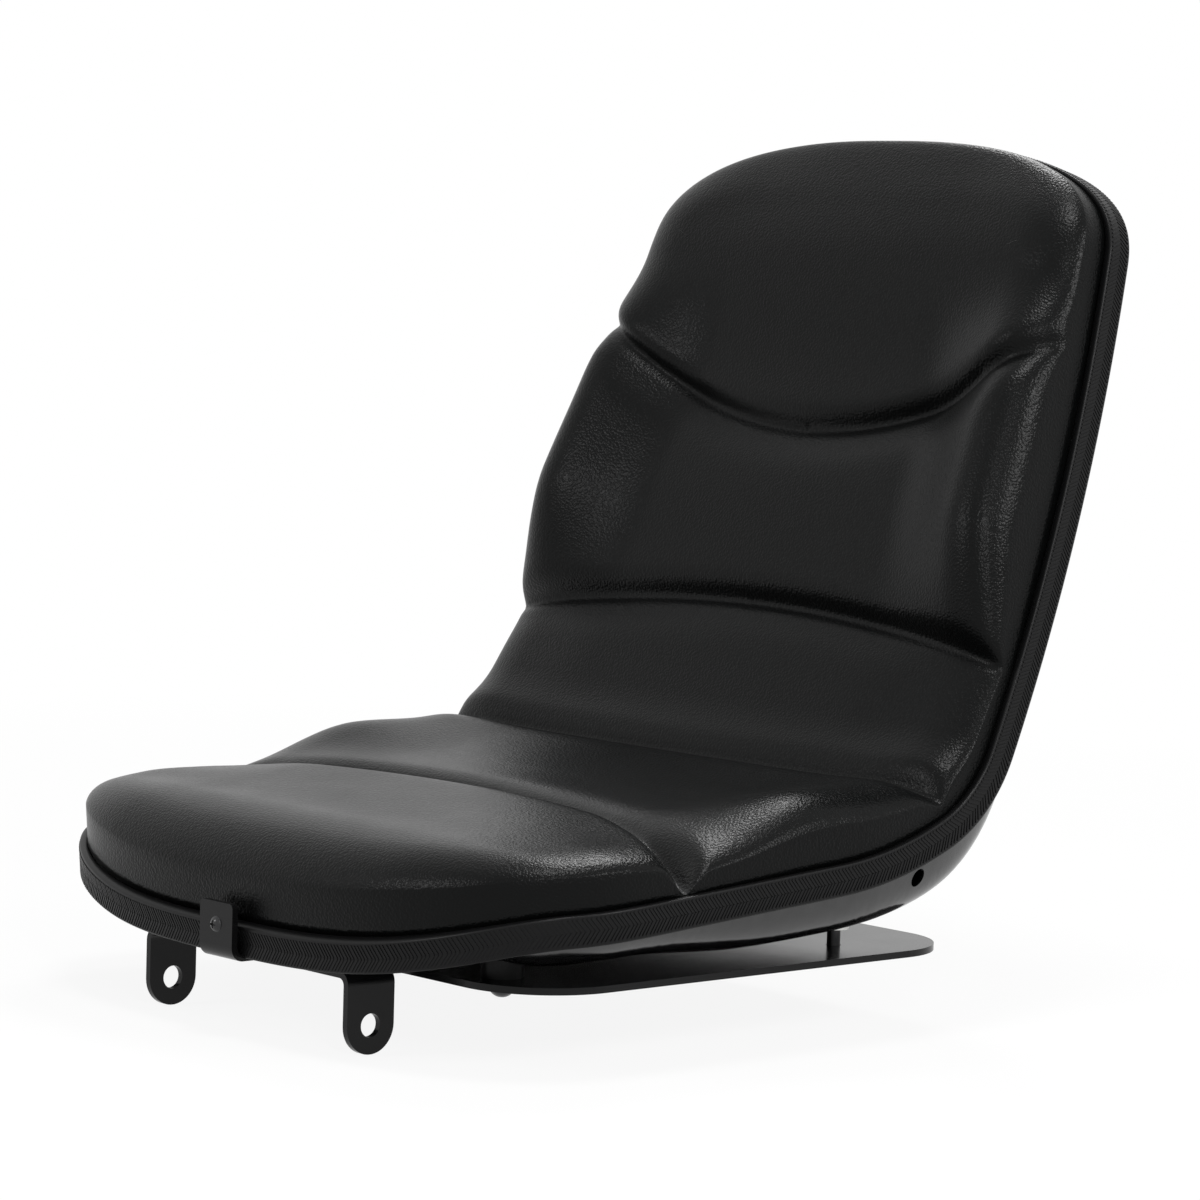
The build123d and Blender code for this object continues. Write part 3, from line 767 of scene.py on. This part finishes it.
def trim_ribs():
    """Chevrons on the trim, as one plain mesh."""
    holder = rib_points()
    tree = rib_tree()
    modifier = holder.modifiers.new("ribs", "NODES")
    modifier.node_group = tree
    wanted = {
        "Bar Length": RIB_LENGTH * MM,
        "Bar Width": RIB_WIDTH * MM,
        "Bar Height": RIB_HEIGHT * MM,
        "Slant": math.radians(RIB_SLANT),
        "Apart": RIB_ROWS_APART * MM,
        "Material": TRIM_PLASTIC,
    }
    for item in tree.interface.items_tree:
        if item.in_out == "INPUT" and item.name in wanted:
            modifier[item.identifier] = wanted[item.name]
    bpy.context.view_layer.update()
    ready = holder.evaluated_get(bpy.context.evaluated_depsgraph_get())
    made = bpy.data.meshes.new_from_object(ready)
    piece = bpy.data.objects.new("edge_trim_ribs", made)
    bpy.context.scene.collection.objects.link(piece)
    holder.modifiers.clear()
    bpy.data.objects.remove(holder)
    return piece


ribs = trim_ribs()

# Pieces and their finishes
cushion.data.materials.append(VINYL)
trim.data.materials.append(TRIM_PLASTIC)
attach(cushion, "root")
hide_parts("cushion")
for piece in (trim, ribs):
    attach(piece, "root")
    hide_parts("edge_trim")

FINISHES = {
    "seat_pan": PAN_PAINT,
    "hinge_plate": PLATE_PAINT,
    "front_bolts": BLACK_STEEL,
    "rear_bolts": BLACK_STEEL,
    "tab_screw": BLACK_STEEL,
    "front_lock_washers": ZINC_STEEL,
    "rear_lock_washers": ZINC_STEEL,
    "front_spacers": TRIM_PLASTIC,
    "rear_washers": ZINC_STEEL,
    "pan_nuts": ZINC_STEEL,
}
for name, finish in FINISHES.items():
    for material_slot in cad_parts[name].material_slots:
        material_slot.material = finish

# Floor and room, in metres: the floor keeps the shadow near the seat and turns white further out
FLOOR_REACH = 12.0
FLOOR_COLOUR = (0.9, 0.9, 0.9, 1.0)
FLOOR_ROUGHNESS = 0.9
FLOOR_GLOW = 0.9
SHADOW_FROM = 0.5
SHADOW_TO = 1.8
WHITE = (1.0, 1.0, 1.0, 1.0)
ROOM_LIGHT = 0.22
BACKGROUND_LIGHT = 1.0


def background_rays(nodes, links):
    """1 for camera, glossy and transmission rays, and 0 for the rays that light the seat."""
    rays = nodes.new("ShaderNodeLightPath")
    seen = rays.outputs["Is Camera Ray"]
    for name in ("Is Glossy Ray", "Is Transmission Ray"):
        either = math_node(nodes, "MAXIMUM")
        links.new(seen, either.inputs[0])
        links.new(rays.outputs[name], either.inputs[1])
        seen = either.outputs[0]
    return seen


def floor_material():
    """Pale floor that is seen nearly white, and white far away."""
    material, nodes, links, shader = new_material("pale_floor")
    shader.inputs["Base Color"].default_value = FLOOR_COLOUR
    shader.inputs["Roughness"].default_value = FLOOR_ROUGHNESS
    where = nodes.new("ShaderNodeTexCoord")
    away = nodes.new("ShaderNodeVectorMath")
    away.operation = "LENGTH"
    links.new(where.outputs["Object"], away.inputs[0])
    fade = nodes.new("ShaderNodeMapRange")
    fade.inputs["From Min"].default_value = SHADOW_FROM
    fade.inputs["From Max"].default_value = SHADOW_TO
    fade.inputs["To Min"].default_value = FLOOR_GLOW
    fade.inputs["To Max"].default_value = 1.0
    links.new(away.outputs["Value"], fade.inputs["Value"])
    glow = math_node(nodes, "MULTIPLY")
    links.new(background_rays(nodes, links), glow.inputs[0])
    links.new(fade.outputs["Result"], glow.inputs[1])
    white = nodes.new("ShaderNodeEmission")
    white.inputs["Strength"].default_value = BACKGROUND_LIGHT
    mix = nodes.new("ShaderNodeMixShader")
    links.new(glow.outputs[0], mix.inputs[0])
    links.new(shader.outputs["BSDF"], mix.inputs[1])
    links.new(white.outputs["Emission"], mix.inputs[2])
    links.new(mix.outputs[0], nodes["Material Output"].inputs["Surface"])
    return material


def pale_floor(height):
    """Wide square floor at a height."""
    corners = ((-1, -1), (1, -1), (1, 1), (-1, 1))
    points = [(side * FLOOR_REACH, along_y * FLOOR_REACH, height) for side, along_y in corners]
    mesh = bpy.data.meshes.new("floor")
    mesh.from_pydata(points, [], [(0, 1, 2, 3)])
    mesh.materials.append(floor_material())
    piece = bpy.data.objects.new("floor", mesh)
    bpy.context.scene.collection.objects.link(piece)
    return piece


def white_room():
    """World that lights the seat softly and is seen as white."""
    world = bpy.data.worlds.new("white_room")
    bpy.context.scene.world = world
    world.use_nodes = True
    nodes, links = world.node_tree.nodes, world.node_tree.links
    nodes.clear()
    output = nodes.new("ShaderNodeOutputWorld")
    mix = nodes.new("ShaderNodeMixShader")
    links.new(background_rays(nodes, links), mix.inputs[0])
    for number, strength in enumerate((ROOM_LIGHT, BACKGROUND_LIGHT), start=1):
        light = nodes.new("ShaderNodeBackground")
        light.inputs["Color"].default_value = WHITE
        light.inputs["Strength"].default_value = strength
        links.new(light.outputs[0], mix.inputs[number])
    links.new(mix.outputs[0], output.inputs["Surface"])


floor = pale_floor(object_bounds()[0][2])
white_room()

# Lamps: place, aim, width and height in metres, and power in watts
LAMPS = {
    "top_softbox": ((0.4, 0.1, 2.2), (0.1, 0.25, 0.2), 0.55, 0.6, 21.0),
    "right_strip": ((1.58, -0.72, 1.02), (0.2, 0.36, 0.28), 0.14, 0.7, 9.0),
    "front_softbox": ((-0.55, -1.6, 1.1), (0.0, 0.1, 0.2), 0.4, 0.4, 8.0),
    "back_softbox": ((2.0, 0.87, 1.22), (0.2, 0.4, 0.3), 0.6, 0.5, 20.0),
    "rear_left_softbox": ((-0.59, 1.09, 1.53), (0.15, 0.2, 0.15), 0.5, 0.5, 11.0),
}
for name, (spot, aim, width, height, power) in LAMPS.items():
    lamp_data = bpy.data.lights.new(name, "AREA")
    lamp_data.shape = "RECTANGLE"
    lamp_data.size = width
    lamp_data.size_y = height
    lamp_data.energy = power
    lamp = bpy.data.objects.new(name, lamp_data)
    bpy.context.scene.collection.objects.link(lamp)
    lamp.location = spot
    lamp.rotation_euler = (Vector(aim) - Vector(spot)).to_track_quat("-Z", "Y").to_euler()

# Camera at the photograph's viewing angle, with its place and reach in metres and its lens in millimetres
CAMERA_PLACE = (2.0565, -1.5415, 0.4458)
CAMERA_AZIMUTH = math.radians(49.03)
CAMERA_ELEVATION = math.radians(4.69)
CAMERA_ROLL = math.radians(1.62)
CAMERA_LENS = 135.56
SENSOR_WIDTH = 36.0
CAMERA_NEAR = 0.05
CAMERA_FAR = 60.0


def camera_turn():
    """Columns of the camera's right, up and backward directions."""
    right = Vector((math.cos(CAMERA_AZIMUTH), math.sin(CAMERA_AZIMUTH), 0.0))
    level = math.cos(CAMERA_ELEVATION)
    backward = Vector(
        (
            math.sin(CAMERA_AZIMUTH) * level,
            -math.cos(CAMERA_AZIMUTH) * level,
            math.sin(CAMERA_ELEVATION),
        )
    )
    upward = backward.cross(right)
    rolled_right = math.cos(CAMERA_ROLL) * right + math.sin(CAMERA_ROLL) * upward
    rolled_up = math.cos(CAMERA_ROLL) * upward - math.sin(CAMERA_ROLL) * right
    return Matrix((rolled_right, rolled_up, backward)).transposed().to_4x4()


camera_data = bpy.data.cameras.new("photo_camera")
camera_data.lens = CAMERA_LENS
camera_data.sensor_width = SENSOR_WIDTH
camera_data.clip_start = CAMERA_NEAR
camera_data.clip_end = CAMERA_FAR
camera = bpy.data.objects.new("photo_camera", camera_data)
bpy.context.scene.collection.objects.link(camera)
camera_matrix = camera_turn()
camera_matrix.translation = Vector(CAMERA_PLACE)
camera.matrix_world = camera_matrix
bpy.context.scene.camera = camera
bpy.context.scene.view_settings.view_transform = "Standard"
